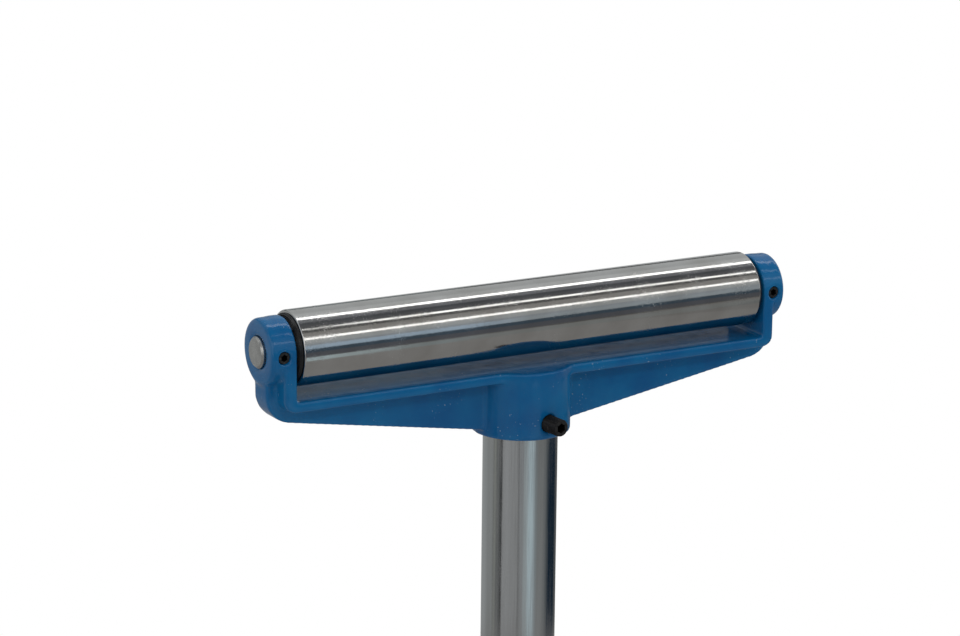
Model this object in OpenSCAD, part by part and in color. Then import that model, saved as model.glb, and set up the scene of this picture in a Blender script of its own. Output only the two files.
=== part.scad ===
// Pedestal roller stand: a steel roller in a cast yoke, on a column that slides in a three-legged base.
// X runs along the roller, -Y is the side with the set screws, +Z is up, and Z = 0 is the floor.

/* [Heights] */
// Height of the roller's axis above the floor
axis_z = 778; // [765:1:800]
// Height of the sleeve tube's top above the floor
sleeve_top = 470; // [455:1:480]
// How far the column can rise from rest
rise = 120; // [90:5:130]

/* [Roller] */
// Outer diameter of the roller tube
roller_d = 60; // [59:0.5:64]
// Length of the roller tube
roller_l = 414; // [300:2:500]
// Wall of the roller tube between its bearing seats
roller_wall = 6; // [5.5:0.25:7]
// Diameter of the fixed axle
axle_d = 25; // [24.5:0.1:25.5]
// Outer diameter of a bearing, which is also the bore of its seat
bearing_d = 52; // [51.5:0.1:53]
// Width of a bearing
bearing_w = 15; // [14:0.5:16]
// Balls in each bearing
ball_count = 9; // [7:1:9]

/* [Yoke] */
// Width of the strap that makes the ears and the top of the arm
strap_w = 54; // [50:0.5:56]
// Thickness of an ear's strap
ear_t = 10; // [8:0.5:13]
// Length of the boss that holds one end of the axle
boss_l = 20.5; // [17:0.5:24]
// Thickness of the arm's top flange
flange_t = 8; // [6:0.5:10]
// Gap between the roller and the flange under it
roller_gap = 6.5; // [4:0.5:10]
// Thickness of the web under the flange
web_t = 22; // [16:0.5:26]
// Outer diameter of the hub that sits on the column
hub_d = 80; // [76:0.5:84]
// Depth of the hub, from the flange's top to its lower edge
hub_h = 55; // [51:0.5:60]

/* [Column] */
// Outer diameter of the sliding column
column_d = 60; // [59.5:0.1:60.4]
// Length of the sliding column, with its clearance in the hub
column_l = 508; // [495:1:515]
// Wall of the sliding column
column_wall = 5; // [4:0.25:7]
// Outer diameter of the sleeve tube
sleeve_d = 76; // [75:0.25:80]
// Wall of the sleeve tube
sleeve_wall = 5; // [4.5:0.25:5.5]

/* [Base] */
// Distance from the column's axis to each foot's bolt hole
foot_r = 230; // [200:1:260]
// Diameter of a foot
foot_d = 64; // [56:1:72]
// Diameter of the floor bolt hole in a foot
bolt_hole_d = 13; // [10:0.5:15]
// Outer diameter of the base's hub
base_hub_d = 102; // [98:1:112]
// Height of the base hub's top above the floor
base_hub_top = 126; // [118:1:140]

/* [Hidden] */
$fn = 96;
cut = 1;              // how far a cutting solid runs past the face that it opens
slip = 0.1;           // radial clearance of a sliding fit
run = 0.05;           // radial clearance of a thread, a pin or a running fit
seat = 0.3;           // gap between faces that stop just short of each other
edge = 3;             // rounding of the casting's outer rims
chamfer = 1.5;        // chamfer on turned ends

roller_r = roller_d / 2;
roller_half = roller_l / 2;
axle_r = axle_d / 2;
end_gap = 5;          // from the roller's end to the ear
ear_in = roller_half + end_gap;
ear_out = ear_in + ear_t;
boss_out = ear_in + boss_l;
axle_stand = 2.5;     // how far the axle stands out of its boss
axle_half = boss_out + axle_stand;
strap_r = strap_w / 2;

flange_top = -roller_r - roller_gap;      // heights in the yoke are measured from the roller's axis
flange_low = flange_top - flange_t;
hub_low = flange_top - hub_h;
hub_r = hub_d / 2;
column_r = column_d / 2;
hub_roof = 10;                            // metal left over the column's end
column_seat = flange_top - hub_roof;
web_slope = 9.5;                          // angle of the arm's underside
web_hang = 0.6;                           // how far the two undersides would meet under the hub
web_root = web_hang - hub_low;            // depth of the underside, carried in to the column's axis
web_inset = 2;                            // from the boss's face to the web's outer edge
web_edge = boss_out - web_inset;
web_corner_r = 23;
web_cx = web_edge - web_corner_r;         // middle of the web's rounded corner
web_cz = web_cx * tan(web_slope) + web_corner_r / cos(web_slope) - web_root;
arc_steps = 6;
ear_mid = ear_in + ear_t / 2;
ear_bend_share = 0.9;
ear_bend = ear_t * ear_bend_share;        // outer rounding where the strap turns up into an ear
strap_end = ear_out - ear_bend;           // where the flat of the strap ends and the turn begins
flange_mid = flange_top - flange_t / 2;
web_back_share = 0.6;
web_back = strap_r * web_back_share;      // depth under the axis at which the web meets the boss
bulge_r = 16;                             // hollow corner where the flange widens round the hub
bulge_y = strap_r + bulge_r;
bulge_x = sqrt(pow(hub_r + bulge_r, 2) - pow(bulge_y, 2));
bulge_turn = atan2(bulge_y, -bulge_x);    // where the hollow corner meets the round of the hub

yoke_screw_r = 7;
yoke_screw_lift = 13;                     // from the hub's lower edge to the lock screw
yoke_screw_z = hub_low + yoke_screw_lift;
yoke_screw_stand = 15;                    // how far the lock screw stands out of the hub
yoke_socket = 6;
yoke_screw_turn = 6;                      // how far round from the front the lock screw stands, in degrees
axle_screw_r = 5;
axle_screw_x = ear_in + boss_l / 2;
axle_screw_sunk = 2.2;
boss_step = 0.4;                          // how much smaller than the ear's round the boss is turned
hub_step = 0.2;                           // and the hub than the round of the flange
axle_flat = 1;                            // depth of the flat under each axle screw
axle_socket = 5;
socket_share = 1.1;                       // depth of a hexagon socket by its width
bevel_share = 0.125;                      // bevel of a set screw's ends by its radius

bearing_r = bearing_d / 2;
seat_depth = 27;                          // depth of the bearing seat in the roller's end
bearing_in = roller_half - seat_depth;
bearing_mid = bearing_in + bearing_w / 2;
ring_w = 1.8;                             // width of a bearing's retaining ring
ring_groove = 1;                          // how far the retaining ring stands in its groove
ring_deep = 4.4;
ring_out = bearing_r + ring_groove;
ring_in = ring_out - ring_deep;
pitch_r = (axle_r + bearing_r) / 2;
ball_r = 3.95;
race_r = ball_r + slip;
land = 2.25;                              // from the ball circle to each ring
inner_land = pitch_r - land;
outer_land = pitch_r + land;
cage_t = 1.7;
cage_w = 9.4;
pocket_r = ball_r + 2 * slip;
seal_w = 0.8;
spacer_wall = 3.5;
spacer_r = axle_r + spacer_wall;
cap_out = 2.5;                            // how far the dust cap stands out of the tube
cap_w = 8;
cap_gap = 0.6;                            // between the cap and the spacer
cap_hole_r = spacer_r + cap_gap;
cap_rim = 1.8;
cap_rim_r = bearing_r + cap_rim;
cap_ridge = 1;                            // depth of the rings turned in the cap's face
cap_ridge_shares = [0.35, 0.62];          // places of those rings across the face
roller_bevel = 1;

sleeve_r = sleeve_d / 2;
sleeve_in = sleeve_r - sleeve_wall;
bush_in = column_r + slip;
bush_flange_t = 4;
upper_bush_l = 46;
lower_bush_l = 26;
column_low = axis_z + column_seat - column_l;
stop_lift = 4;                            // from the column's lower end to its stop ring
stop_w = 2.5;
stop_deep = 1.5;
stop_gap = 0.7;                           // between the stop ring and the sleeve
stop_r = sleeve_in - stop_gap;
stop_slot = 9;
stop_margin = 2;                          // left under the bush at full height
lower_bush_z = column_low + stop_lift + stop_w + rise + stop_margin;

collar_wall = 10;
collar_r = sleeve_r + collar_wall;
collar_h = 44;
clamp_z = sleeve_top - collar_h / 2;
clamp_r = 6;
clamp_boss_r = 15;
clamp_boss_l = 16;
clamp_boss_end = collar_r + clamp_boss_l;
pad_t = 4;
pad_gap = 0.4;                            // between the pad and the wall of its hole
pad_r = clamp_r - pad_gap;
pad_bevel = 0.5;
spigot_r = 2.2;
spigot_l = 4;
pad_tip = column_r + seat;
stud_start = pad_tip + pad_t + seat;
knob_gap = 6;                             // from the collar's boss to the knob's neck
knob_neck_r = 12;
knob_neck_l = 6;
knob_neck = clamp_boss_end + knob_gap;
knob_start = knob_neck + knob_neck_l;
knob_r = 31;
knob_l = 22;
knob_bevel = 4;
knob_lobes = 5;
scoop_r = 10;                             // hollow between two lobes of the knob
scoop_at = 34;
stud_grip = 14;                           // how deep the stud stands in the knob
stud_end = knob_start + stud_grip;

leg_angles = [-90, 30, 150];
hub_lift = 8;                             // gap between the base's hub and the floor
rib_lift = 2;                             // from the hub's lower face to the legs' ribs
rib_low = hub_lift + rib_lift;
sleeve_low = 16;
foot_r_out = foot_d / 2;
foot_h = 20;
foot_rise = 24;                           // height at which the strap's top would end over the foot
leg_rib_t = 14;
leg_strap_w = 46;
leg_strap_t = 9;
leg_drop = 22;                            // from the hub's top down to the legs
leg_top = base_hub_top - leg_drop;
leg_arch_start = 10;                      // from the hub or the foot to the arch under the rib
leg_arch_rise = 14;
base_hub_r = base_hub_d / 2;
foot_spot = 7;                            // width of the machined spot round a bolt hole
foot_spot_r = bolt_hole_d / 2 + foot_spot;
foot_spot_deep = 2;
base_screw_r = 5;
base_screw_drop = 18;
base_screw_z = base_hub_top - base_screw_drop;

// Points of an arc about (cx, cy), from angle a to angle b
function arc(cx, cy, r, a, b) = [for (i = [0 : arc_steps])
    let (t = a + (b - a) * i / arc_steps) [cx + r * cos(t), cy + r * sin(t)]];

function flip_x(points) = [for (p = points) [-p.x, p.y]];
function flip_y(points) = [for (p = points) [p.x, -p.y]];
function reversed(points) = [for (i = [len(points) - 1 : -1 : 0]) points[i]];
function inner(points) = [for (i = [1 : len(points) - 2]) points[i]];

// Turns a solid drawn along Z so that it runs along X, on the right or the left end of the roller
module along_x(side = 1) {
    rotate([0, side * 90, 0])
        children();
}

// Turns a solid drawn along Z so that it runs towards -Y
module along_front() {
    rotate([90, 0, 0])
        children();
}

// Lifts what is drawn about the roller's axis to its height
module at_axis() {
    translate([0, 0, axis_z])
        children();
}

// A rod with a chamfer at both ends, from z = low to z = high
module turned_rod(r, low, high, bevel) {
    translate([0, 0, low])
        rotate_extrude()
            polygon([[0, 0], [r - bevel, 0], [r, bevel], [r, high - low - bevel],
                [r - bevel, high - low], [0, high - low]]);
}

// A plain ring from z = low to z = high
module ring(r_out, r_in, low, high) {
    translate([0, 0, low])
        difference() {
            cylinder(r = r_out, h = high - low);
            translate([0, 0, -cut])
                cylinder(r = r_in, h = high - low + 2 * cut);
        }
}

// A set screw that points along Z, with its hexagon socket at the top
module set_screw(r, low, high, across) {
    difference() {
        turned_rod(r, low, high, r * bevel_share);
        translate([0, 0, high - across * socket_share])
            cylinder(d = across / cos(30), h = across * socket_share + cut, $fn = 6);
    }
}

// Cast base: a hub for the sleeve tube and three ribbed legs that end in bolt-down feet
module base_casting() {
    color([0.07, 0.25, 0.45])
        difference() {
            union() {
                translate([0, 0, hub_lift])
                    bevelled_disc(base_hub_r, base_hub_top - hub_lift);
                for (a = leg_angles)
                    rotate([0, 0, a])
                        leg();
            }
            translate([0, 0, sleeve_low])
                cylinder(r = sleeve_r, h = base_hub_top);
            translate([0, 0, -cut])
                cylinder(r = sleeve_in, h = sleeve_low + 2 * cut);
            for (a = leg_angles) {
                rotate([0, 0, a])
                    translate([foot_r, 0, -cut]) {
                        cylinder(d = bolt_hole_d, h = foot_h + 2 * cut);
                        translate([0, 0, foot_h - foot_spot_deep + cut])
                            cylinder(r = foot_spot_r, h = foot_h);
                    }
                rotate([0, 0, a + 180])
                    translate([0, 0, base_screw_z])
                        along_x()
                            cylinder(r = base_screw_r + run, h = base_hub_r + cut);
            }
        }
}

// A disc whose upper rim is rounded
module rounded_disc(r, h) {
    rotate_extrude()
        polygon(concat([[0, 0], [r, 0]], arc(r - edge, h - edge, edge, 0, 90), [[0, h]]));
}

// A disc with a bevel round its upper rim
module bevelled_disc(r, h) {
    rotate_extrude()
        polygon([[0, 0], [r, 0], [r, h - edge], [r - edge, h], [0, h]]);
}

// One leg of the base, drawn along +X: a strap over an arched rib, and the foot
module leg() {
    root = base_hub_r - edge * 2;
    tip = foot_r - foot_r_out / 2;
    drop = leg_strap_t / cos(atan((leg_top - foot_rise) / (tip - root)));
    arch_from = base_hub_r + leg_arch_start;
    arch_to = foot_r - foot_r_out - leg_arch_start;
    half = (arch_to - arch_from) / 2;
    arch_r = (half * half + leg_arch_rise * leg_arch_rise) / (2 * leg_arch_rise);
    along_leg(leg_strap_w)
        polygon([[root, leg_top], [tip, foot_rise], [tip, foot_rise - drop], [root, leg_top - drop]]);
    along_leg(leg_rib_t)
        difference() {
            polygon([[root, leg_top - drop / 2], [tip, foot_rise - drop / 2],
                [tip, rib_low], [root, rib_low]]);
            translate([arch_from + half, rib_low + leg_arch_rise - arch_r])
                circle(r = arch_r);
        }
    translate([foot_r, 0, 0])
        cylinder(r = foot_r_out, h = foot_h);
}

// Stands a side profile up in the leg's own plane
module along_leg(width) {
    rotate([90, 0, 0])
        linear_extrude(width, center = true)
            children();
}

// The fixed outer tube of the column
module sleeve_tube() {
    color([0.07, 0.25, 0.45])
        difference() {
            ring(sleeve_r, sleeve_in, sleeve_low, sleeve_top);
            clamp_hole();
        }
}

// The way of the clamp screw through the collar, the sleeve and the bush
module clamp_hole() {
    translate([0, 0, clamp_z])
        along_x()
            cylinder(r = clamp_r + run, h = clamp_boss_end + cut);
}

// Three set screws that hold the sleeve tube in the base
module sleeve_grub_screws() {
    color([0.06, 0.06, 0.07])
        for (a = leg_angles)
            rotate([0, 0, a + 180])
                translate([0, 0, base_screw_z])
                    along_x()
                        set_screw(base_screw_r, sleeve_r, base_hub_r - axle_screw_sunk, axle_socket);
}

// Collar welded round the sleeve's top, with the threaded boss of the clamp screw
module clamp_collar() {
    color([0.07, 0.25, 0.45])
        difference() {
            union() {
                translate([0, 0, sleeve_top - collar_h])
                    rounded_disc(collar_r, collar_h);
                translate([0, 0, clamp_z])
                    along_x()
                        rounded_disc(clamp_boss_r, clamp_boss_end);
            }
            translate([0, 0, sleeve_top - collar_h - cut])
                cylinder(r = sleeve_r, h = collar_h + 2 * cut);
            clamp_hole();
        }
}

// Flanged bush in the sleeve's mouth, on which the column slides
module upper_guide_bush() {
    color([0.12, 0.12, 0.13])
        difference() {
            union() {
                ring(sleeve_in, bush_in, sleeve_top - upper_bush_l, sleeve_top + cut);
                ring(sleeve_r, bush_in, sleeve_top, sleeve_top + bush_flange_t);
            }
            clamp_hole();
        }
}

// Plain bush inside the sleeve; the column's stop ring meets it at full height
module lower_guide_bush() {
    color([0.12, 0.12, 0.13])
        ring(sleeve_in, bush_in, lower_bush_z, lower_bush_z + lower_bush_l);
}

// Brass pad that the clamp screw presses on the column
module clamp_pad() {
    color([0.72, 0.55, 0.25])
        translate([0, 0, clamp_z])
            along_x() {
                turned_rod(pad_r, pad_tip, pad_tip + pad_t, pad_bevel);
                translate([0, 0, pad_tip + pad_t / 2])
                    cylinder(r = spigot_r, h = pad_t / 2 + spigot_l);
            }
}

// Threaded stud of the clamp, hollow at its tip for the pad's spigot
module clamp_stud() {
    color([0.3, 0.3, 0.32])
        translate([0, 0, clamp_z])
            along_x()
                difference() {
                    turned_rod(clamp_r, stud_start, stud_end, pad_bevel);
                    translate([0, 0, stud_start - cut])
                        cylinder(r = spigot_r + slip, h = cut + spigot_l);
                }
}

// Lobed hand knob, moulded on the stud's end
module clamp_knob() {
    color([0.05, 0.05, 0.05])
        translate([0, 0, clamp_z])
            along_x()
                difference() {
                    union() {
                        turned_rod(knob_r, knob_start, knob_start + knob_l, knob_bevel);
                        translate([0, 0, knob_neck])
                            cylinder(r = knob_neck_r, h = knob_neck_l + cut);
                    }
                    for (i = [0 : knob_lobes - 1])
                        rotate([0, 0, i * 360 / knob_lobes])
                            translate([scoop_at, 0, knob_neck])
                                cylinder(r = scoop_r, h = knob_neck_l + knob_l + cut);
                    translate([0, 0, knob_neck - cut])
                        cylinder(r = clamp_r, h = stud_end - knob_neck + cut);
                }
}

// The bright sliding tube, with a groove for its stop ring
module column_tube() {
    color([0.6, 0.61, 0.62])
        difference() {
            ring(column_r, column_r - column_wall, column_low, axis_z + column_seat - seat);
            ring(column_r + cut, column_r - stop_deep, column_low + stop_lift - run,
                column_low + stop_lift + stop_w + run);
        }
}

// Split spring ring near the column's foot
module column_stop_ring() {
    color([0.3, 0.3, 0.32])
        translate([0, 0, column_low + stop_lift])
            split_ring(stop_r, column_r - stop_deep, stop_w, stop_slot);
}

// A ring that lies from z = 0 to z = width, with a gap on its +X side
module split_ring(r_out, r_in, width, gap) {
    difference() {
        ring(r_out, r_in, 0, width);
        translate([r_in / 2, -gap / 2, -cut])
            cube([r_out, gap, width + 2 * cut]);
    }
}

// The cast yoke: a U-shaped strap with a web outside it, two axle bosses and the hub
module yoke() {
    color([0.07, 0.25, 0.45])
        at_axis()
            difference() {
                union() {
                    translate([0, 0, flange_low])
                        linear_extrude(flange_t)
                            flange_plan();
                    rotate([90, 0, 0])
                        linear_extrude(web_t, center = true)
                            web_side();
                    translate([0, 0, hub_low])
                        cylinder(r = hub_r - hub_step, h = hub_h - flange_t / 2);
                    for (side = [-1, 1])
                        along_x(side)
                            translate([0, 0, ear_in])
                                ear(side);
                }
                translate([0, 0, hub_low - cut])
                    cylinder(r = column_r + slip, h = hub_h - hub_roof + cut);
                translate([0, 0, yoke_screw_z])
                    along_lock()
                        cylinder(r = yoke_screw_r + run, h = hub_r + cut);
                along_x()
                    translate([0, 0, -boss_out - cut])
                        cylinder(r = axle_r + run, h = 2 * (boss_out + cut));
                for (side = [-1, 1])
                    translate([side * axle_screw_x, 0, 0])
                        along_front()
                            cylinder(r = axle_screw_r + run, h = strap_r + cut);
            }
}

// Plan of the arm's top flange: the strap, widened round the hub with hollow corners
module flange_plan() {
    corner = arc(bulge_x, -bulge_y, bulge_r, 90, bulge_turn);
    hub_round = inner(arc(0, 0, hub_r, bulge_turn - 180, -bulge_turn));
    right_half = concat([[strap_end, -strap_r]], corner);
    front = concat(right_half, hub_round, reversed(flip_x(right_half)));
    polygon(concat(front, reversed(flip_y(front))));
}

// The web's side profile: it deepens towards the hub and turns up outside each ear
module web_side() {
    right = concat(arc(web_cx, web_cz, web_corner_r, web_slope - 90, 0),
        [[web_edge, -web_back], [ear_mid, -web_back], [ear_mid, flange_mid]]);
    polygon(concat([[0, -web_root]], right, reversed(flip_x(right))));
}

// One ear, drawn along Z from its inner face: the strap, bent up at the arm's end, and the boss outside it
module ear(side) {
    bend = arc(-flange_low - ear_bend, ear_t - ear_bend, ear_bend, 90, 0);
    strap = concat([[0, 0], [0, ear_t]], bend, [[-flange_low, 0]]);
    linear_extrude(ear_t)
        circle(r = strap_r);
    rotate([90, 0, 0])
        linear_extrude(strap_w, center = true)
            polygon(side > 0 ? strap : flip_x(strap));
    translate([0, 0, ear_t / 2])
        rounded_disc(strap_r - boss_step, boss_l - ear_t / 2);
}

// Turns a solid drawn along Z to the way of the lock screw
module along_lock() {
    rotate([0, 0, yoke_screw_turn])
        along_front()
            children();
}

// Long set screw that locks the yoke on the column
module yoke_lock_screw() {
    color([0.05, 0.05, 0.05])
        translate([0, 0, axis_z + yoke_screw_z])
            along_lock()
                set_screw(yoke_screw_r, column_r + seat, hub_r + yoke_screw_stand, yoke_socket);
}

// Fixed axle, with a flat for the set screw in each ear
module axle() {
    color([0.7, 0.68, 0.62])
        at_axis()
            difference() {
                along_x()
                    turned_rod(axle_r, -axle_half, axle_half, chamfer);
                for (side = [-1, 1])
                    translate([side * axle_screw_x - axle_screw_r - cut, -axle_r - cut, -axle_r])
                        cube([2 * (axle_screw_r + cut), cut + axle_flat, axle_d]);
            }
}

// Set screw that holds one end of the axle
module axle_screw(side) {
    color([0.06, 0.06, 0.07])
        at_axis()
            translate([side * axle_screw_x, 0, 0])
                along_front()
                    set_screw(axle_screw_r, axle_r - axle_flat, strap_r - axle_screw_sunk, axle_socket);
}

// Spacer between a bearing's inner ring and the ear
module spacer(side) {
    color([0.6, 0.61, 0.62])
        at_end(side)
            ring(spacer_r, axle_r, bearing_in + bearing_w, ear_in);
}

// Turns a solid drawn about Z so that it lies on the roller's axis, on one side
module at_end(side) {
    at_axis()
        along_x(side)
            children();
}

// One ring of a ball bearing, between two radii, with its race
module bearing_ring(side, r_in, r_out) {
    color([0.72, 0.73, 0.75])
        at_end(side)
            translate([0, 0, bearing_mid])
                rotate_extrude()
                    difference() {
                        translate([r_in, -bearing_w / 2])
                            square([r_out - r_in, bearing_w]);
                        translate([pitch_r, 0])
                            circle(r = race_r);
                    }
}

// Places a copy at each ball of one bearing
module at_balls() {
    for (i = [0 : ball_count - 1])
        rotate([0, 0, i * 360 / ball_count])
            translate([pitch_r, 0, bearing_mid])
                children();
}

// Ball cage of one bearing
module bearing_cage(side) {
    color([0.66, 0.5, 0.25])
        at_end(side)
            difference() {
                ring(pitch_r + cage_t / 2, pitch_r - cage_t / 2, bearing_mid - cage_w / 2,
                    bearing_mid + cage_w / 2);
                at_balls()
                    sphere(r = pocket_r, $fn = 28);
            }
}

// Balls of one bearing
module bearing_balls(side) {
    color([0.75, 0.76, 0.78])
        at_end(side)
            at_balls()
                sphere(r = ball_r);
}

// Rubber seal in the outer side of one bearing
module bearing_seal(side) {
    color([0.05, 0.05, 0.05])
        at_end(side)
            ring(outer_land, inner_land + slip, bearing_in + bearing_w - 2 * seal_w,
                bearing_in + bearing_w - seal_w);
}

// Retaining ring that keeps one bearing in its seat
module retaining_ring(side) {
    color([0.2, 0.2, 0.22])
        at_end(side)
            translate([0, 0, bearing_in + bearing_w + run])
                split_ring(ring_out, ring_in, ring_w, stop_slot);
}

// Black dust cap in the roller's end, with turned rings in its face
module dust_cap(side) {
    color([0.04, 0.04, 0.04])
        at_end(side)
            rotate_extrude()
                translate([0, roller_half - cap_w + cap_out])
                    dust_cap_profile();
}

// Section of the dust cap, from its inner side to its face
module dust_cap_profile() {
    face = cap_w;
    difference() {
        union() {
            translate([cap_hole_r, 0])
                square([bearing_r - cap_hole_r, cap_w - cut]);
            translate([cap_hole_r, cap_w - cap_out])
                square([cap_rim_r - cap_hole_r - cap_ridge, cap_out]);
            translate([cap_hole_r, cap_w - cap_out])
                square([cap_rim_r - cap_hole_r, cap_out - cap_ridge]);
            translate([cap_rim_r - cap_ridge, face - cap_ridge])
                circle(r = cap_ridge);
        }
        for (share = cap_ridge_shares)
            translate([cap_hole_r + share * (cap_rim_r - cap_hole_r), face])
                circle(r = cap_ridge);
    }
}

// The steel roller, with stepped seats for the bearings at both ends
module roller_tube() {
    color([0.62, 0.63, 0.65])
        at_axis()
            difference() {
                along_x()
                    turned_rod(roller_r, -roller_half, roller_half, roller_bevel);
                along_x()
                    translate([0, 0, -roller_half])
                        cylinder(r = roller_r - roller_wall, h = roller_l);
                for (side = [-1, 1])
                    along_x(side) {
                        translate([0, 0, bearing_in])
                            cylinder(r = bearing_r, h = seat_depth + cut);
                        translate([0, 0, bearing_in + bearing_w])
                            cylinder(r = ring_out + run, h = ring_w + 2 * run);
                    }
            }
}

base_casting();
sleeve_tube();
sleeve_grub_screws();
clamp_collar();
upper_guide_bush();
lower_guide_bush();
clamp_pad();
clamp_stud();
clamp_knob();
column_tube();
column_stop_ring();
yoke();
yoke_lock_screw();
axle();
axle_screw(-1);  // left_axle_screw
axle_screw(1);  // right_axle_screw
spacer(-1);  // left_spacer
spacer(1);  // right_spacer
bearing_ring(-1, axle_r, inner_land);  // left_bearing_inner_ring
bearing_ring(1, axle_r, inner_land);  // right_bearing_inner_ring
bearing_cage(-1);  // left_bearing_cage
bearing_cage(1);  // right_bearing_cage
bearing_balls(-1);  // left_bearing_balls
bearing_balls(1);  // right_bearing_balls
bearing_ring(-1, outer_land, bearing_r);  // left_bearing_outer_ring
bearing_ring(1, outer_land, bearing_r);  // right_bearing_outer_ring
bearing_seal(-1);  // left_bearing_seal
bearing_seal(1);  // right_bearing_seal
retaining_ring(-1);  // left_retaining_ring
retaining_ring(1);  // right_retaining_ring
dust_cap(-1);  // left_dust_cap
dust_cap(1);  // right_dust_cap
roller_tube();
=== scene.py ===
import math
import bmesh
import bpy
from mathutils import Matrix, Vector


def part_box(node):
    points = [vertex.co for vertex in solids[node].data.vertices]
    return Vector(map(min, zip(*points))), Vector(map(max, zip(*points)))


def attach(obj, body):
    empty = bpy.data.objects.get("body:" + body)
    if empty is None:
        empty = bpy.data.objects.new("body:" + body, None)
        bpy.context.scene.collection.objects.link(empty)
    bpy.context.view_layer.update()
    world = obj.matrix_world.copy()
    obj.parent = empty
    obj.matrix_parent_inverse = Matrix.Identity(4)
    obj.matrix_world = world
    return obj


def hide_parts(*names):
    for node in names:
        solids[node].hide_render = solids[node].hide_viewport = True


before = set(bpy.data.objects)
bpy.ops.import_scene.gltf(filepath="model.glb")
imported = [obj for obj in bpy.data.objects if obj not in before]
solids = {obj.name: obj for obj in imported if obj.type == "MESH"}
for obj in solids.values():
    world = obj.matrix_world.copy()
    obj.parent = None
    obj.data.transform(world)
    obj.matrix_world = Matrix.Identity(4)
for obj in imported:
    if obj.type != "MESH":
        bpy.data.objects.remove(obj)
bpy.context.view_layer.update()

# The camera stands in front of the stand and to its left, a little above the roller, and looks down on it.
# Only the upper part of the stand is in its view, as in a close studio shot.
camera_place = (-1.4712, -2.5438, 1.5540)
camera_turn = math.radians(29.397)
camera_dip = math.radians(14.814)
camera_roll = math.radians(0.614)
camera_focus_px = 3832.1
view_width_px = 960
sensor_mm = 36.0
nearest_in_view = 0.05
farthest_in_view = 60.0
look = Vector((math.sin(camera_turn) * math.cos(camera_dip),
               math.cos(camera_turn) * math.cos(camera_dip), -math.sin(camera_dip)))
level = Vector((math.cos(camera_turn), -math.sin(camera_turn), 0.0))
upright = level.cross(look)
right = math.cos(camera_roll) * level + math.sin(camera_roll) * upright
up = -math.sin(camera_roll) * level + math.cos(camera_roll) * upright
camera_data = bpy.data.cameras.new("studio_camera")
camera_data.sensor_width = sensor_mm
camera_data.lens = camera_focus_px * sensor_mm / view_width_px
camera_data.clip_start = nearest_in_view
camera_data.clip_end = farthest_in_view
camera = bpy.data.objects.new("studio_camera", camera_data)
camera.matrix_world = Matrix((
    (right.x, up.x, -look.x, camera_place[0]),
    (right.y, up.y, -look.y, camera_place[1]),
    (right.z, up.z, -look.z, camera_place[2]),
    (0.0, 0.0, 0.0, 1.0)))
bpy.context.scene.collection.objects.link(camera)
bpy.context.scene.camera = camera
bpy.context.scene.view_settings.view_transform = "Standard"

# The base is one iron casting: a hub for the sleeve tube and three ribbed legs with feet that bolt down.
# It is sand cast, so every edge is soft and the skin a little uneven, and it is sprayed with blue enamel.
base_voxel = 0.0018
base_softening = 5
softening_strength = 0.5
weld_gap = 1e-6
enamel_deep = (0.003, 0.102, 0.288, 1.0)
enamel_light = (0.005, 0.144, 0.348, 1.0)
enamel_chip = (0.30, 0.42, 0.55, 1.0)
enamel_clouds = 24.0
enamel_chips = 620.0
enamel_chip_places = 46.0
enamel_gloss_spots = 90.0
enamel_waves = 70.0
enamel_grain = 420.0
enamel_cloud_span = (0.35, 0.65)
enamel_chip_span = (0.71, 0.745)
enamel_chip_strength = 0.75
enamel_chip_place_span = (0.54, 0.62)
enamel_smoothest = 0.13
enamel_roughest = 0.23
enamel_wave_share = 3.0
enamel_relief = 0.35
enamel_coat = 0.25
enamel_coat_roughness = 0.06
enamel_shine = 0.22
casting_grain_depth = 0.00022
gloss_span = (0.3, 0.7)


def new_finish(name):
    finish = bpy.data.materials.new(name)
    finish.use_nodes = True
    tree = finish.node_tree
    return finish, tree, tree.nodes["Principled BSDF"]


def grain(tree, per_metre, detail=2.0, stretch=(1.0, 1.0, 1.0)):
    # an uneven pattern fixed to the piece, with about that many spots to the metre
    place = tree.nodes.new("ShaderNodeTexCoord")
    turn = tree.nodes.new("ShaderNodeMapping")
    turn.inputs["Scale"].default_value = stretch
    tree.links.new(place.outputs["Object"], turn.inputs["Vector"])
    spots = tree.nodes.new("ShaderNodeTexNoise")
    spots.inputs["Scale"].default_value = per_metre
    spots.inputs["Detail"].default_value = detail
    tree.links.new(turn.outputs["Vector"], spots.inputs["Vector"])
    return spots.outputs["Fac"]


def spread(tree, value, span, low_out=0.0, high_out=1.0):
    # brings a pattern's values within the span to low_out..high_out
    scale = tree.nodes.new("ShaderNodeMapRange")
    scale.inputs["From Min"].default_value = span[0]
    scale.inputs["From Max"].default_value = span[1]
    scale.inputs["To Min"].default_value = low_out
    scale.inputs["To Max"].default_value = high_out
    tree.links.new(value, scale.inputs["Value"])
    return scale.outputs["Result"]


def blended(tree, share, first, second):
    # a colour between two others; each may be a colour or a node's output
    mix = tree.nodes.new("ShaderNodeMix")
    mix.data_type = "RGBA"
    tree.links.new(share, mix.inputs["Factor"])
    for socket, colour in ((mix.inputs[6], first), (mix.inputs[7], second)):
        if isinstance(colour, tuple):
            socket.default_value = colour
        else:
            tree.links.new(colour, socket)
    return mix.outputs[2]


def times(tree, first, second):
    product = tree.nodes.new("ShaderNodeMath")
    product.operation = "MULTIPLY"
    tree.links.new(first, product.inputs[0])
    tree.links.new(second, product.inputs[1])
    return product.outputs[0]


def raised(tree, height, depth, strength, under=None):
    # a fine relief of that depth, which may lie over another one
    bump = tree.nodes.new("ShaderNodeBump")
    bump.inputs["Distance"].default_value = depth
    bump.inputs["Strength"].default_value = strength
    tree.links.new(height, bump.inputs["Height"])
    if under is not None:
        tree.links.new(under, bump.inputs["Normal"])
    return bump.outputs["Normal"]


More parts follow.
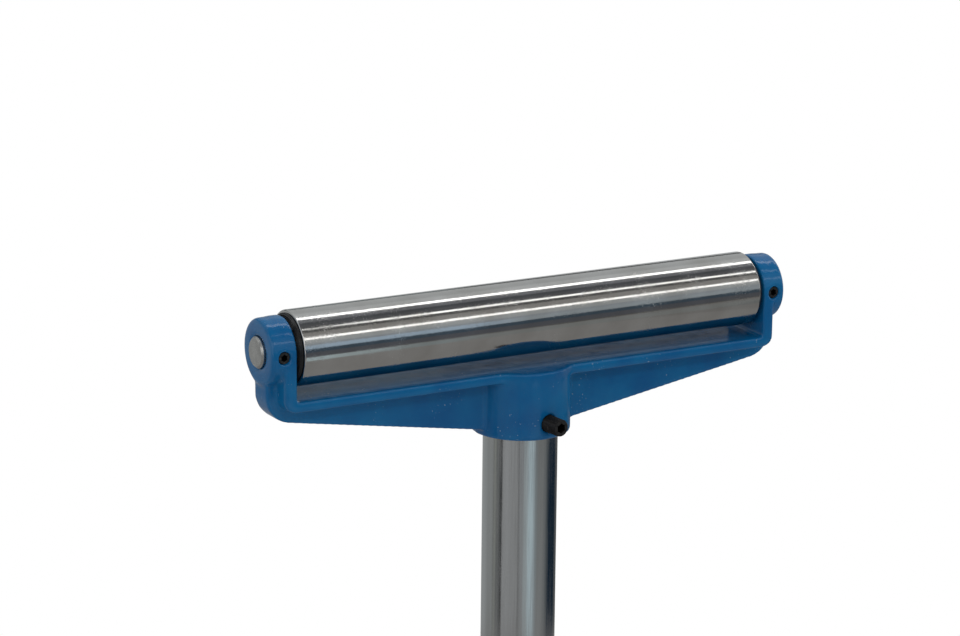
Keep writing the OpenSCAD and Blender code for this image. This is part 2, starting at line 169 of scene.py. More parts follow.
def glossed(tree, shader, pattern, smoothest, roughest, span=gloss_span):
    # lets the roughness vary with the pattern between those two
    tree.links.new(spread(tree, pattern, span, smoothest, roughest), shader.inputs["Roughness"])


def blue_enamel(name, grain_depth):
    finish, tree, shader = new_finish(name)
    cloudy = spread(tree, grain(tree, enamel_clouds, detail=3.0), enamel_cloud_span)
    colour = blended(tree, cloudy, enamel_deep, enamel_light)
    chips = spread(tree, grain(tree, enamel_chips, detail=1.0), enamel_chip_span, 0.0, enamel_chip_strength)
    where_chipped = spread(tree, grain(tree, enamel_chip_places), enamel_chip_place_span)
    colour = blended(tree, times(tree, chips, where_chipped), colour, enamel_chip)
    tree.links.new(colour, shader.inputs["Base Color"])
    glossed(tree, shader, grain(tree, enamel_gloss_spots, detail=3.0), enamel_smoothest, enamel_roughest)
    waves = raised(tree, grain(tree, enamel_waves), grain_depth * enamel_wave_share, enamel_relief)
    skin = raised(tree, grain(tree, enamel_grain, detail=3.0), grain_depth, enamel_relief, waves)
    tree.links.new(skin, shader.inputs["Normal"])
    shader.inputs["Coat Weight"].default_value = enamel_coat
    shader.inputs["Coat Roughness"].default_value = enamel_coat_roughness
    shader.inputs["Specular IOR Level"].default_value = enamel_shine
    return finish


def soft_casting(name, solid, voxel, softening):
    # the solid's own surface, remade in small even faces, with its edges and inner corners rubbed soft
    mesh = solids[solid].data.copy()
    weld = bmesh.new()
    weld.from_mesh(mesh)
    bmesh.ops.remove_doubles(weld, verts=weld.verts, dist=weld_gap)
    weld.to_mesh(mesh)
    weld.free()
    piece = bpy.data.objects.new(name, mesh)
    bpy.context.scene.collection.objects.link(piece)
    remade = piece.modifiers.new("even_faces", "REMESH")
    remade.mode = "VOXEL"
    remade.voxel_size = voxel
    soft = piece.modifiers.new("soft_edges", "SMOOTH")
    soft.factor = softening_strength
    soft.iterations = softening
    shaped = piece.evaluated_get(bpy.context.evaluated_depsgraph_get())
    done = bpy.data.meshes.new_from_object(shaped)
    piece.modifiers.clear()
    piece.data = done
    done.name = name
    done.shade_smooth()
    return piece


def finished(piece, finish, body, solid):
    # gives the piece its material and the body it moves with, and hides the solid it stands for
    piece.data.materials.clear()
    piece.data.materials.append(finish)
    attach(piece, body)
    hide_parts(solid)


castings_blue = blue_enamel("blue_enamel_on_iron", casting_grain_depth)
base_skin = soft_casting("base_iron", "base_casting", base_voxel, base_softening)
finished(base_skin, castings_blue, "base", "base_casting")

# The sleeve is a steel tube with its ends turned square, sprayed with the same blue enamel as the base.
# It stands on a step in the base's hub, where three set screws hold it.
sleeve_low, sleeve_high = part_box("sleeve_tube")
sleeve_radius = sleeve_high.x
sleeve_wall = 0.005
sleeve_bevel = 0.0006
tube_grain_depth = 0.00006


def smooth_piece(name, mesh, place, crease):
    # makes the mesh an object in its place, smooth but for the edges sharper than the crease, in degrees
    bmesh.ops.recalc_face_normals(mesh, faces=mesh.faces)
    mesh.transform(place)
    data = bpy.data.meshes.new(name)
    mesh.to_mesh(data)
    mesh.free()
    data.shade_smooth()
    data.set_sharp_from_angle(angle=math.radians(crease))
    piece = bpy.data.objects.new(name, data)
    bpy.context.scene.collection.objects.link(piece)
    return piece


def lathe(name, profile, place=Matrix.Identity(4), steps=180, crease=32.0):
    # turns a closed line of (radius, height) points about Z, then puts the piece in place
    mesh = bmesh.new()
    rings = []
    for radius, height in profile:
        rings.append([mesh.verts.new((radius * math.cos(math.tau * i / steps),
                                      radius * math.sin(math.tau * i / steps), height))
                      for i in range(steps)])
    for a, b in zip(rings, rings[1:] + rings[:1]):
        for i in range(steps):
            k = (i + 1) % steps
            mesh.faces.new((a[i], b[i], b[k], a[k]))
    return smooth_piece(name, mesh, place, crease)


def tube_line(outer, inner, low, high, bevel):
    return [(inner + bevel, low), (outer - bevel, low), (outer, low + bevel), (outer, high - bevel),
            (outer - bevel, high), (inner + bevel, high), (inner, high - bevel), (inner, low + bevel)]


tube_blue = blue_enamel("blue_enamel_on_tube", tube_grain_depth)
sleeve_line = tube_line(sleeve_radius, sleeve_radius - sleeve_wall, sleeve_low.z, sleeve_high.z,
                        sleeve_bevel)
sleeve = lathe("sleeve", sleeve_line)
finished(sleeve, tube_blue, "base", "sleeve_tube")

# The collar is an iron ring welded round the sleeve's top, with a boss that is drilled for the clamp screw.
# Its edges are filed round before it is sprayed.
collar_voxel = 0.0010
collar_softening = 4
collar_skin = soft_casting("clamp_ring", "clamp_collar", collar_voxel, collar_softening)
finished(collar_skin, castings_blue, "base", "clamp_collar")

# Two nylon bushes guide the column in the sleeve; the upper one has a flange that shows above the collar.
# They are turned from black bar and pressed in.
bush_black = (0.022, 0.022, 0.024, 1.0)
worn_spots = 160.0
worn_span = (0.45, 0.8)
worn_strength = 0.5
worn_gain = 2.2
worn_lift = 0.01
plastic_gloss_spots = 700.0
pores = 1500.0
pore_depth = 0.00006
pore_relief = 0.4


def black_plastic(name, colour, smoothest, roughest, shine=0.5):
    finish, tree, shader = new_finish(name)
    worn_colour = tuple(c * worn_gain + worn_lift for c in colour[:3]) + (1.0,)
    worn = spread(tree, grain(tree, worn_spots, detail=3.0), worn_span, 0.0, worn_strength)
    tree.links.new(blended(tree, worn, colour, worn_colour), shader.inputs["Base Color"])
    glossed(tree, shader, grain(tree, plastic_gloss_spots), smoothest, roughest)
    tree.links.new(raised(tree, grain(tree, pores), pore_depth, pore_relief), shader.inputs["Normal"])
    shader.inputs["Specular IOR Level"].default_value = shine
    return finish


def dressed(finish, *names):
    for name in names:
        data = solids[name].data
        data.materials.clear()
        data.materials.append(finish)


nylon = black_plastic("black_nylon", bush_black, smoothest=0.38, roughest=0.55)
dressed(nylon, "upper_guide_bush", "lower_guide_bush")

# Set screws with hexagon sockets hold the sleeve, the axle and the yoke. They are rolled and hardened
# steel, black from the oil they were quenched in, with bevelled ends and edges that have worn bright.
thread_depth = 0.00055
thread_points = 48
rows_per_turn = 8
screw_bevel_share = 0.125
socket_depth_share = 1.1
screw_crease = 28.0
screw_black = (0.012, 0.012, 0.013, 1.0)
screw_worn = (0.11, 0.105, 0.10, 1.0)
screw_worn_span = (0.53, 0.60)
screw_worn_strength = 0.7
screw_metal_share = 0.75
screw_smoothest = 0.30
screw_roughest = 0.52
screw_gloss_spots = 900.0
screw_grain = 2200.0
screw_grain_depth = 0.00004
screw_relief = 0.5
hexagon_turn = math.pi / 3


def oiled_steel(name):
    finish, tree, shader = new_finish(name)
    rubbed = tree.nodes.new("ShaderNodeNewGeometry").outputs["Pointiness"]
    edge = spread(tree, rubbed, screw_worn_span, 0.0, screw_worn_strength)
    tree.links.new(blended(tree, edge, screw_black, screw_worn), shader.inputs["Base Color"])
    shader.inputs["Metallic"].default_value = screw_metal_share
    glossed(tree, shader, grain(tree, screw_gloss_spots, detail=3.0), screw_smoothest, screw_roughest)
    skin = raised(tree, grain(tree, screw_grain), screw_grain_depth, screw_relief)
    tree.links.new(skin, shader.inputs["Normal"])
    return finish


def set_screw(name, radius, low, high, across, pitch, place):
    # the flank is a grid whose radius rises and falls along a helix; the socket is a hexagon in the top
    mesh = bmesh.new()
    bevel = radius * screw_bevel_share
    rows = round((high - low) / pitch * rows_per_turn)
    rings = []
    for row in range(rows + 1):
        height = low + (high - low) * row / rows
        room = min(height - low, high - height)
        ring = []
        for i in range(thread_points):
            turn = math.tau * i / thread_points
            wave = abs(((height - low) / pitch + i / thread_points) % 1.0 - 0.5) * 2.0
            r = min(radius - thread_depth * (1.0 - wave), radius - bevel + room)
            ring.append(mesh.verts.new((r * math.cos(turn), r * math.sin(turn), height)))
        rings.append(ring)
    for a, b in zip(rings, rings[1:]):
        for i in range(thread_points):
            k = (i + 1) % thread_points
            mesh.faces.new((a[i], a[k], b[k], b[i]))
    mesh.faces.new(list(reversed(rings[0])))
    top = rings[-1]
    socket_floor = high - across * socket_depth_share
    rim = []
    floor_ring = []
    for i in range(thread_points):
        turn = math.tau * i / thread_points
        inside = (turn + hexagon_turn / 2) % hexagon_turn - hexagon_turn / 2
        r = across / 2 / math.cos(inside)
        rim.append(mesh.verts.new((r * math.cos(turn), r * math.sin(turn), high)))
        floor_ring.append(mesh.verts.new((r * math.cos(turn), r * math.sin(turn), socket_floor)))
    for i in range(thread_points):
        k = (i + 1) % thread_points
        mesh.faces.new((top[i], top[k], rim[k], rim[i]))
        mesh.faces.new((rim[i], rim[k], floor_ring[k], floor_ring[i]))
    mesh.faces.new(floor_ring)
    return smooth_piece(name, mesh, place, screw_crease)


screw_steel = oiled_steel("black_screw_steel")
dressed(screw_steel, "sleeve_grub_screws")

# The clamp is a threaded stud that a lobed black hand knob turns; a brass pad on its tip grips the column
# without marking it. The knob is moulded in one piece round the stud's end.
knob_voxel = 0.0009
knob_softening = 6
knob_black = (0.016, 0.016, 0.017, 1.0)
brass_tone = (0.62, 0.42, 0.16, 1.0)
brass_dull = (0.30, 0.19, 0.08, 1.0)
brass_spots = 300.0
brass_dull_span = (0.4, 0.7)
brass_gloss_spots = 800.0
brass_smoothest = 0.22
brass_roughest = 0.4


def turned_brass(name):
    finish, tree, shader = new_finish(name)
    dull = spread(tree, grain(tree, brass_spots, detail=3.0), brass_dull_span)
    tree.links.new(blended(tree, dull, brass_tone, brass_dull), shader.inputs["Base Color"])
    shader.inputs["Metallic"].default_value = 1.0
    glossed(tree, shader, grain(tree, brass_gloss_spots), brass_smoothest, brass_roughest)
    return finish


brass = turned_brass("turned_brass")
dressed(brass, "clamp_pad", "left_bearing_cage", "right_bearing_cage")
dressed(screw_steel, "clamp_stud")
knob_plastic = black_plastic("moulded_knob_black", knob_black, smoothest=0.30, roughest=0.46)
knob = soft_casting("hand_knob", "clamp_knob", knob_voxel, knob_softening)
finished(knob, knob_plastic, "clamp_screw", "clamp_knob")

# The column is a bright steel tube, ground and hard chromed, that slides in the two bushes.
# Drawing and grinding leave faint lines along it, and its lower end carries a spring ring as a stop.
column_low, column_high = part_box("column_tube")
column_radius = column_high.x
column_wall = 0.005
column_bevel = 0.0008
column_steps = 240
column_tone = (0.55, 0.555, 0.56, 1.0)
column_dull = (0.42, 0.42, 0.415, 1.0)
column_draw = (1.0, 1.0, 0.03)
stop_low, stop_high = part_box("column_stop_ring")
stop_depth = 0.0015
groove_play = 0.00005
groove_low = stop_low.z - groove_play
groove_high = stop_high.z + groove_play
spring_tone = (0.10, 0.10, 0.105, 1.0)
spring_dull = (0.05, 0.05, 0.05, 1.0)
steel_clouds = 60.0
steel_cloud_span = (0.4, 0.7)
steel_gloss_span = (0.35, 0.65)
steel_relief = 0.5


def bright_steel(name, clear, dull, smoothest, roughest, fine, depth, stretch=(1.0, 1.0, 1.0)):
    # bare metal with clouds of a duller tone and a grain of that many fine lines or spots to the metre
    finish, tree, shader = new_finish(name)
    clouds = spread(tree, grain(tree, steel_clouds, 4.0, stretch), steel_cloud_span)
    tree.links.new(blended(tree, clouds, clear, dull), shader.inputs["Base Color"])
    shader.inputs["Metallic"].default_value = 1.0
    glossed(tree, shader, grain(tree, fine, 4.0, stretch), smoothest, roughest, steel_gloss_span)
    relief = raised(tree, grain(tree, fine, 5.0, stretch), depth, steel_relief)
    tree.links.new(relief, shader.inputs["Normal"])
    return finish


chromed = bright_steel("hard_chromed_steel", column_tone, column_dull, smoothest=0.10, roughest=0.20,
                       fine=900.0, depth=0.00002, stretch=column_draw)
column_line = [(column_radius - column_wall, column_low.z), (column_radius - column_bevel, column_low.z),
               (column_radius, column_low.z + column_bevel), (column_radius, groove_low),
               (column_radius - stop_depth, groove_low), (column_radius - stop_depth, groove_high),
               (column_radius, groove_high), (column_radius, column_high.z - column_bevel),
               (column_radius - column_bevel, column_high.z), (column_radius - column_wall, column_high.z)]
column = lathe("sliding_column", column_line, steps=column_steps)
finished(column, chromed, "column", "column_tube")
spring_steel = bright_steel("phosphated_spring_steel", spring_tone, spring_dull, smoothest=0.35,
                            roughest=0.5, fine=900.0, depth=0.00004)
dressed(spring_steel, "column_stop_ring", "left_retaining_ring", "right_retaining_ring")

# The yoke is the large blue casting: a strap with two upright ears, a web under it and a hub on the column.
# It is sand cast iron, fettled and sprayed, so its edges are round, its inner corners filled
# and its skin rippled.
yoke_voxel = 0.0011
yoke_softening = 16
yoke_skin = soft_casting("yoke_iron", "yoke", yoke_voxel, yoke_softening)
finished(yoke_skin, castings_blue, "yoke", "yoke")

# A long set screw through the hub's front locks the yoke on the column; more than half of it stands out.
# It is a coarse screw with a flat hexagon-socket end, drilled a little to the right of the front.
lock_low, lock_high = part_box("yoke_lock_screw")
lock_turn = math.radians(6.0)
lock_radius = (lock_high.z - lock_low.z) / 2
lock_pitch = 0.0015
lock_socket = 0.007
face_to_front = Matrix.Rotation(math.pi / 2, 4, "X")
# the box ends at the rims of the two end faces, which stand a little askew to it
lock_rim = lock_radius * (1.0 - screw_bevel_share) * math.sin(lock_turn)
lock_inner_end = (-lock_high.y + lock_rim) / math.cos(lock_turn)
lock_outer_end = (-lock_low.y - lock_rim) / math.cos(lock_turn)
lock_place = Matrix.Translation((0.0, 0.0, (lock_low.z + lock_high.z) / 2)) \
    @ Matrix.Rotation(lock_turn, 4, "Z") @ face_to_front
lock_screw = set_screw("lock_screw", lock_radius, lock_inner_end, lock_outer_end, lock_socket, lock_pitch,
                       lock_place)
finished(lock_screw, screw_steel, "yoke_lock", "yoke_lock_screw")

# The axle is a fixed bar of drawn steel, chamfered at both ends, which stands a little out of its bosses.
# A small set screw in the front of each boss bears on a flat of the axle.
axle_tone = (0.50, 0.495, 0.475, 1.0)
axle_dull = (0.385, 0.38, 0.365, 1.0)
axle_screw_pitch = 0.00125
axle_screw_socket = 0.005
axle_steel = bright_steel("drawn_axle_steel", axle_tone, axle_dull, smoothest=0.26, roughest=0.38,
                          fine=600.0, depth=0.00003)
dressed(axle_steel, "axle", "left_spacer", "right_spacer")
for side in ("left", "right"):
    screw_low, screw_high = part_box(side + "_axle_screw")
    screw_middle = (screw_low + screw_high) / 2
    screw_place = Matrix.Translation((screw_middle.x, 0.0, screw_middle.z)) @ face_to_front
    small_screw = set_screw(side + "_ear_screw", (screw_high.x - screw_low.x) / 2, -screw_high.y,
                            -screw_low.y, axle_screw_socket, axle_screw_pitch, screw_place)
    finished(small_screw, screw_steel, "yoke", side + "_axle_screw")

# A sealed ball bearing sits in each end of the roller: ground rings and balls of bearing steel,
# a brass cage, and a rubber seal on the outer side.
bearing_tone = (0.62, 0.63, 0.64, 1.0)
bearing_dull = (0.50, 0.50, 0.50, 1.0)
seal_black = (0.018, 0.018, 0.018, 1.0)
bearing_steel = bright_steel("ground_bearing_steel", bearing_tone, bearing_dull, smoothest=0.10,
                             roughest=0.2, fine=1200.0, depth=0.00001)
for side in ("left", "right"):
    dressed(bearing_steel, side + "_bearing_inner_ring", side + "_bearing_outer_ring",
            side + "_bearing_balls")
seal_rubber = black_plastic("seal_rubber", seal_black, smoothest=0.5, roughest=0.7)
dressed(seal_rubber, "left_bearing_seal", "right_bearing_seal")

# A black dust cap closes each end of the roller round the axle's spacer. It is moulded in rubber,
# with fine rings on its face and a rounded rim that laps the tube's end.
cap_black = (0.009, 0.009, 0.010, 1.0)
cap_ridge_count = 8
cap_ridge_depth = 0.0012
cap_rim_share = 1.0 / 9.0
cap_rim_inset = 0.0004
cap_rim_rise = 0.0006
cap_hole_gap = 0.0006
cap_points = 96
cap_steps = 160
cap_crease = 60.0
roller_low, roller_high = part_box("roller_tube")
roller_half = roller_high.x
axis_height = (roller_low.z + roller_high.z) / 2
bearing_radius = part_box("left_bearing_outer_ring")[1].z - axis_height
cap_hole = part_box("left_spacer")[1].z - axis_height + cap_hole_gap
cap_rubber = black_plastic("dust_cap_rubber", cap_black, smoothest=0.26, roughest=0.42, shine=0.36)
for side, sign in (("left", -1.0), ("right", 1.0)):
    cap_low, cap_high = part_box(side + "_dust_cap")
    cap_radius = cap_high.z - axis_height
    inner_end = min(abs(cap_low.x), abs(cap_high.x))
    outer_end = max(abs(cap_low.x), abs(cap_high.x))
    rim_foot = roller_half + cap_rim_rise
    cap_line = [(cap_hole, inner_end), (bearing_radius, inner_end), (bearing_radius, roller_half),
                (cap_radius - cap_rim_inset, roller_half), (cap_radius, rim_foot)]
    # the rim rises in a quarter round, and rings run across the face like waves
    for i in range(cap_points + 1):
        share = i / cap_points
        rim = math.sqrt(1.0 - (1.0 - min(1.0, share / cap_rim_share)) ** 2)
        wave = 0.5 - 0.5 * math.cos(math.tau * cap_ridge_count * share)
        cap_line.append((cap_radius + (cap_hole - cap_radius) * share,
                         rim_foot + (outer_end - rim_foot - cap_ridge_depth * wave) * rim))
    along_axis = Matrix.Translation((0.0, 0.0, axis_height)) @ Matrix.Rotation(sign * math.pi / 2, 4, "Y")
    cap = lathe(side + "_end_cap", cap_line, along_axis, cap_steps, cap_crease)
    finished(cap, cap_rubber, "roller", side + "_dust_cap")

# The roller is a thick steel tube, turned, ground and polished bright, with a stepped seat in each end
# for a bearing and a groove for its retaining ring. Use has left fine speckled scratches on it.
roller_radius = roller_high.z - axis_height
roller_wall = 0.006
roller_edge = 0.0016
roller_steps = 300
round_steps = 6
seat_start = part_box("right_bearing_outer_ring")[0].x
retainer_low, retainer_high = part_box("right_retaining_ring")
groove_inner = retainer_low.x - groove_play
groove_outer = retainer_high.x + groove_play
groove_radius = retainer_high.z - axis_height + groove_play
roller_tone = (0.52, 0.515, 0.50, 1.0)
roller_dull = (0.44, 0.43, 0.41, 1.0)
roller_clouds = 26.0
roller_cloud_span = (0.38, 0.68)
roller_smoothest = 0.09
roller_roughest = 0.34
scuff_spots = 1100.0
scuff_span = (0.52, 0.72)
scuff_places = 34.0
scuff_place_span = (0.40, 0.64)
scuff_depth = 0.00004
scuff_relief = 0.6
ground_line_grain = 1300.0
ground_line_stretch = (1.0, 0.8, 0.8)
ground_line_depth = 0.000009
ground_line_relief = 0.5


def polished_steel(name):
    finish, tree, shader = new_finish(name)
    clouds = spread(tree, grain(tree, roller_clouds, detail=4.0), roller_cloud_span)
    tree.links.new(blended(tree, clouds, roller_tone, roller_dull), shader.inputs["Base Color"])
    shader.inputs["Metallic"].default_value = 1.0
    scuffs = spread(tree, grain(tree, scuff_spots, detail=5.0), scuff_span)
    where_scuffed = spread(tree, grain(tree, scuff_places, detail=3.0), scuff_place_span)
    scuffed = times(tree, scuffs, where_scuffed)
    glossed(tree, shader, scuffed, roller_smoothest, roller_roughest, span=(0.0, 1.0))
    fine_lines = grain(tree, ground_line_grain, 3.0, ground_line_stretch)
    ground_lines = raised(tree, fine_lines, ground_line_depth, ground_line_relief)
    pits = raised(tree, scuffed, scuff_depth, scuff_relief, ground_lines)
    tree.links.new(pits, shader.inputs["Normal"])
    return finish


half_line = []
for i in range(round_steps + 1):
    turn = math.pi / 2 * i / round_steps
    half_line.append((roller_radius - roller_edge * (1.0 - math.cos(turn)),
                      roller_half - roller_edge * (1.0 - math.sin(turn))))
half_line += [(bearing_radius, roller_half), (bearing_radius, groove_outer), (groove_radius, groove_outer),
              (groove_radius, groove_inner), (bearing_radius, groove_inner), (bearing_radius, seat_start),
              (roller_radius - roller_wall, seat_start)]
roller_line = half_line + [(r, -x) for r, x in reversed(half_line)]
along_axis = Matrix.Translation((0.0, 0.0, axis_height)) @ Matrix.Rotation(math.pi / 2, 4, "Y")
roller = lathe("roller", roller_line, along_axis, roller_steps)
polished = polished_steel("polished_roller_steel")
finished(roller, polished, "roller", "roller_tube")

# The stand is shown on a plain pale floor that runs out to white, in white air with an even soft light.
# Floor, lamps and boards are the studio and no part of the stand.
floor_size = 14.0
floor_points = 96
floor_drop = 0.0004
floor_tone = (0.72, 0.715, 0.70, 1.0)
floor_roughness = 0.7
floor_clear_span = (0.55, 1.25)
air_tone = (0.50, 0.51, 0.52, 1.0)
plain_white = (1.0, 1.0, 1.0, 1.0)


def looked_at(tree):
    # 1 for what the camera sees, straight or in a shiny face or through glass, and 0 for mere lighting
    paths = tree.nodes.new("ShaderNodeLightPath")
    seen = paths.outputs["Is Camera Ray"]
    for kind in ("Is Glossy Ray", "Is Transmission Ray"):
        larger = tree.nodes.new("ShaderNodeMath")
        larger.operation = "MAXIMUM"
        tree.links.new(seen, larger.inputs[0])
        tree.links.new(paths.outputs[kind], larger.inputs[1])
        seen = larger.outputs[0]
    return seen


def studio_piece(name, mesh, finish):
    data = bpy.data.meshes.new(name)
    mesh.to_mesh(data)
    mesh.free()
    data.materials.append(finish)
    piece = bpy.data.objects.new(name, data)
    bpy.context.scene.collection.objects.link(piece)
    return piece


def pale_floor(name):
    finish, tree, shader = new_finish(name)
    shader.inputs["Base Color"].default_value = floor_tone
    shader.inputs["Roughness"].default_value = floor_roughness
    place = tree.nodes.new("ShaderNodeTexCoord")
    distance = tree.nodes.new("ShaderNodeVectorMath")
    distance.operation = "LENGTH"
    tree.links.new(place.outputs["Object"], distance.inputs[0])
    clear = spread(tree, distance.outputs["Value"], floor_clear_span)
    white = tree.nodes.new("ShaderNodeEmission")
    mixed = tree.nodes.new("ShaderNodeMixShader")
    tree.links.new(times(tree, clear, looked_at(tree)), mixed.inputs["Fac"])
    tree.links.new(shader.outputs["BSDF"], mixed.inputs[1])
    tree.links.new(white.outputs["Emission"], mixed.inputs[2])
    tree.links.new(mixed.outputs["Shader"], tree.nodes["Material Output"].inputs["Surface"])
    return finish


world = bpy.data.worlds.new("studio_air")
bpy.context.scene.world = world
world.use_nodes = True
air = world.node_tree
air.links.new(blended(air, looked_at(air), air_tone, plain_white), air.nodes["Background"].inputs["Color"])
floor_mesh = bmesh.new()
bmesh.ops.create_circle(floor_mesh, cap_ends=True, radius=floor_size, segments=floor_points)
floor = studio_piece("studio_floor", floor_mesh, pale_floor("pale_floor"))
floor.location = (0.0, 0.0, -floor_drop)

# Five soft boxes light it. Four long ones hang round the roller's axis and draw three white lines along
# the polished roller, the middle one thinner and dimmer at the left. The fifth fills the left side.
lamp_reach = 2.0
lamp_left = -1.4
lamp_middle = 0.6
lamp_right = 3.6
middle_strip_turn = 64.5
fill_place = (-2.4, -1.2, 1.9)
fill_aim = (0.0, 0.0, 0.7)
fill_side = 1.0
fill_brightness = 1.2


def lamp(name, place, aim, width, depth, brightness):
    # a soft box whose face has that brightness, where 1 is white
    data = bpy.data.lights.new(name, "AREA")
    data.shape = "RECTANGLE"
    data.size = width
    data.size_y = depth
    data.energy = brightness * math.pi * width * depth
    box = bpy.data.objects.new(name, data)
    box.location = place
    box.rotation_euler = (Vector(aim) - Vector(place)).to_track_quat("-Z", "Y").to_euler()
    box.visible_camera = False
    bpy.context.scene.collection.objects.link(box)


def round_roller(turn_deg, far, x):
    # a place at that angle about the roller's axis, counted from the front horizon upwards
    turn = math.radians(turn_deg)
    return Vector((x, -math.cos(turn) * far, axis_height + math.sin(turn) * far))


for name, turn_deg, depth, from_x, to_x, brightness in (
        ("rear_strip", 103.4, 0.28, lamp_left, lamp_right, 3.1),
        ("middle_strip", middle_strip_turn, 0.18, lamp_middle, lamp_right, 2.3),
        ("front_strip", 36.0, 0.20, lamp_left, lamp_right, 2.0),
        ("middle_strip_left", middle_strip_turn, 0.12, lamp_left, lamp_middle, 1.2)):
    place = round_roller(turn_deg, lamp_reach, (from_x + to_x) / 2)
    lamp(name, place, (place.x, 0.0, axis_height), to_x - from_x, depth, brightness)
lamp("left_fill", fill_place, fill_aim, fill_side, fill_side, fill_brightness)

# A vault of boards runs along the roller, and each draws one band of grey or blue on it, from its rear
# edge over the top to the front. Neighbours share an edge, so that no white shows between them.
# Glowing mats on the floor paint the reflection of the lit floor, the warm grey below the bands, and the
# dimmer front ones paint shade on it. Only shiny faces see boards and mats.
vault_reach = 2.6
vault_left = -5.0
vault_split = 1.3
vault_right = 8.0
vault_bends = 6
mat_height = 0.004
mat_tone = (1.0, 0.99, 0.98)
mat_front = -2.6
mat_shade = -2.1
mat_back = 2.6
mat_split = 0.9


def board(name, one_edge, other_edge, brightness, tone):
    # a studio board between two lines of points; only shiny faces see it, and 1 is as bright as white
    mesh = bmesh.new()
    rungs = [(mesh.verts.new(a), mesh.verts.new(b)) for a, b in zip(one_edge, other_edge)]
    for a, b in zip(rungs, rungs[1:]):
        mesh.faces.new((a[0], b[0], b[1], a[1]))
    finish, tree, shader = new_finish(name)
    tree.nodes.remove(shader)
    glow = tree.nodes.new("ShaderNodeEmission")
    glow.inputs["Color"].default_value = tone + (1.0,)
    glow.inputs["Strength"].default_value = brightness
    tree.links.new(glow.outputs["Emission"], tree.nodes["Material Output"].inputs["Surface"])
    piece = studio_piece(name, mesh, finish)
    piece.visible_camera = False
    piece.visible_diffuse = False
    piece.visible_transmission = False
    piece.visible_shadow = False


def steps_between(first, last, count):
    return [first + (last - first) * i / count for i in range(count + 1)]


for name, turn_from, turn_to, from_x, to_x, brightness, tone in (
        ("vault_behind_level", 169.0, 200.0, vault_left, vault_right, 0.47, (0.96, 1.0, 1.02)),
        ("vault_behind", 126.0, 160.0, vault_left, vault_right, 0.57, (0.96, 1.0, 1.02)),
        ("vault_behind_glow", 108.5, 126.0, vault_left, vault_right, 0.68, (0.96, 1.0, 1.02)),
        ("vault_top_grey", 86.5, 108.5, vault_left, vault_right, 0.25, (0.94, 0.98, 1.08)),
        ("vault_top_dark", 78.5, 86.5, vault_left, vault_right, 0.115, (0.92, 0.98, 1.10)),
        ("vault_top_dim", 67.0, 78.5, vault_left, vault_right, 0.14, (0.94, 0.98, 1.06)),
        ("vault_top_edge", 53.5, 67.0, vault_left, vault_right, 0.13, (0.98, 1.0, 1.0)),
        ("vault_upper_front", 32.0, 53.5, vault_left, vault_right, 0.37, (1.0, 0.985, 0.96)),
        ("vault_front", 21.0, 32.0, vault_left, vault_right, 0.51, (0.94, 1.0, 1.03)),
        ("vault_front_pale", 15.5, 21.0, vault_left, vault_right, 0.42, (0.90, 1.0, 1.10)),
        ("vault_low_dark", -4.5, 5.5, vault_left, vault_right, 0.095, (0.70, 1.02, 1.38)),
        ("vault_low_grey", -18.0, -4.5, vault_left, vault_right, 0.12, (0.95, 1.0, 1.15)),
        ("vault_behind_low_left", 160.0, 169.0, vault_left, vault_split, 0.18, (0.86, 1.0, 1.0)),
        ("vault_behind_low_right", 160.0, 169.0, vault_split, vault_right, 0.07, (1.0, 1.0, 1.0)),
        ("vault_front_blue_left", 5.5, 15.5, vault_left, vault_split, 0.60, (0.78, 1.0, 1.24)),
        ("vault_front_blue_right", 5.5, 15.5, vault_split, vault_right, 0.46, (0.88, 1.0, 1.10))):
    turns = steps_between(turn_from, turn_to, vault_bends)
    board(name, [round_roller(t, vault_reach, from_x) for t in turns],
          [round_roller(t, vault_reach, to_x) for t in turns], brightness, tone)
# the mats glow: a painted reflection of the lit floor, with painted shade in the front strip
for name, from_x, to_x, from_y, to_y, brightness in (
        ("floor_mat_left", vault_left, mat_split, mat_shade, mat_back, 0.30),
        ("floor_mat_right", mat_split, vault_right, mat_shade, mat_back, 0.26),
        ("floor_mat_shade_left", vault_left, vault_split, mat_front, mat_shade, 0.20),
        ("floor_mat_shade_right", vault_split, vault_right, mat_front, mat_shade, 0.13)):
    board(name, [(from_x, from_y, mat_height), (from_x, to_y, mat_height)],
          [(to_x, from_y, mat_height), (to_x, to_y, mat_height)], brightness, mat_tone)

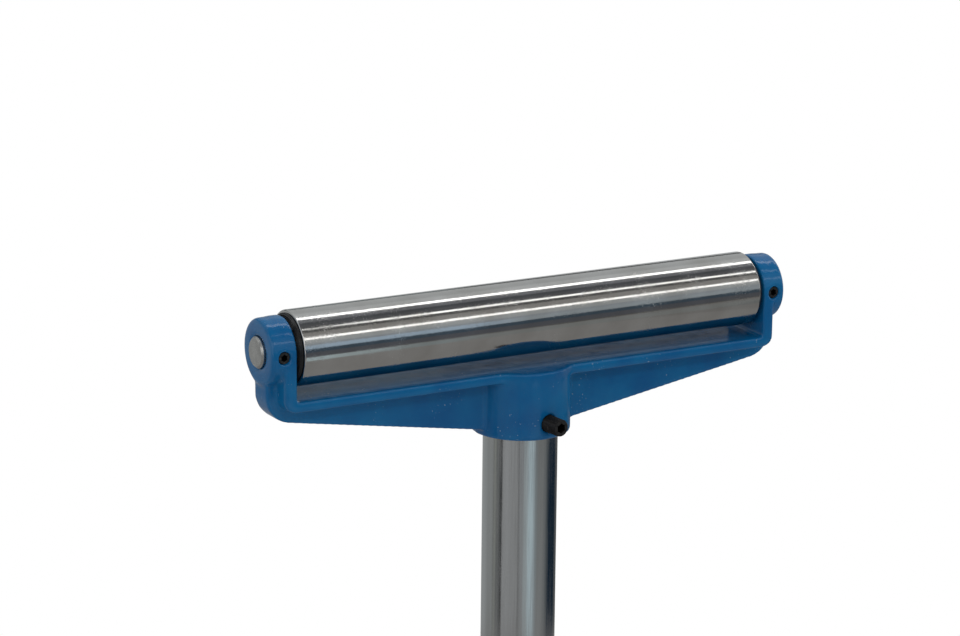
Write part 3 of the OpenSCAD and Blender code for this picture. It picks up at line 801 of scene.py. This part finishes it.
# A low ring of upright boards stands round the base for the column, and each draws a band down it.
# Their places are angles round the column from the side of the camera, counted to the right.
camera_side = math.degrees(math.atan2(camera_place[1], camera_place[0]))
ring_reach = 1.45
ring_foot = 0.006
ring_top = 0.31
ring_bends = 8
for name, turn_from, turn_to, brightness, tone in (
        ("ring_far_left", -179.0, -88.0, 0.38, (0.95, 1.0, 1.0)),
        ("ring_left_seam", -88.0, -84.0, 0.24, (0.95, 1.0, 0.97)),
        ("ring_left_line", -84.0, -76.5, 0.36, (0.95, 1.0, 0.94)),
        ("ring_left_fade", -76.5, -65.0, 0.21, (0.95, 1.0, 1.0)),
        ("ring_left_dim", -65.0, -60.5, 0.13, (0.95, 1.0, 1.04)),
        ("ring_left_dark", -60.5, -54.0, 0.06, (0.95, 1.0, 1.04)),
        ("ring_left", -54.0, -4.0, 0.43, (0.97, 1.0, 1.02)),
        ("ring_middle_line", -4.0, 0.5, 0.25, (0.97, 1.0, 1.02)),
        ("ring_middle", 0.5, 14.0, 0.40, (0.95, 1.0, 1.03)),
        ("ring_right_rise", 14.0, 26.0, 0.52, (0.88, 1.0, 1.03)),
        ("ring_right_bright", 26.0, 44.0, 0.66, (0.82, 1.0, 1.06)),
        ("ring_right_fall", 44.0, 49.0, 0.52, (0.85, 1.0, 1.05)),
        ("ring_right_low", 49.0, 56.0, 0.34, (0.88, 1.0, 1.04)),
        ("ring_right_dim", 56.0, 79.0, 0.29, (0.95, 1.0, 1.0)),
        ("ring_right_dimmer", 79.0, 88.0, 0.23, (0.94, 1.0, 1.02)),
        ("ring_right_edge", 88.0, 95.0, 0.15, (0.90, 1.0, 1.06)),
        ("ring_right_shade", 95.0, 101.0, 0.07, (0.75, 1.0, 1.25)),
        ("ring_right_dark", 101.0, 140.0, 0.025, (0.40, 1.0, 1.80)),
        ("ring_far_right", 140.0, 179.0, 0.12, (0.9, 0.96, 1.0))):
    posts = [(math.cos(math.radians(camera_side + t)) * ring_reach,
              math.sin(math.radians(camera_side + t)) * ring_reach)
             for t in steps_between(turn_from, turn_to, ring_bends)]
    board(name, [(x, y, ring_foot) for x, y in posts], [(x, y, ring_top) for x, y in posts],
          brightness, tone)
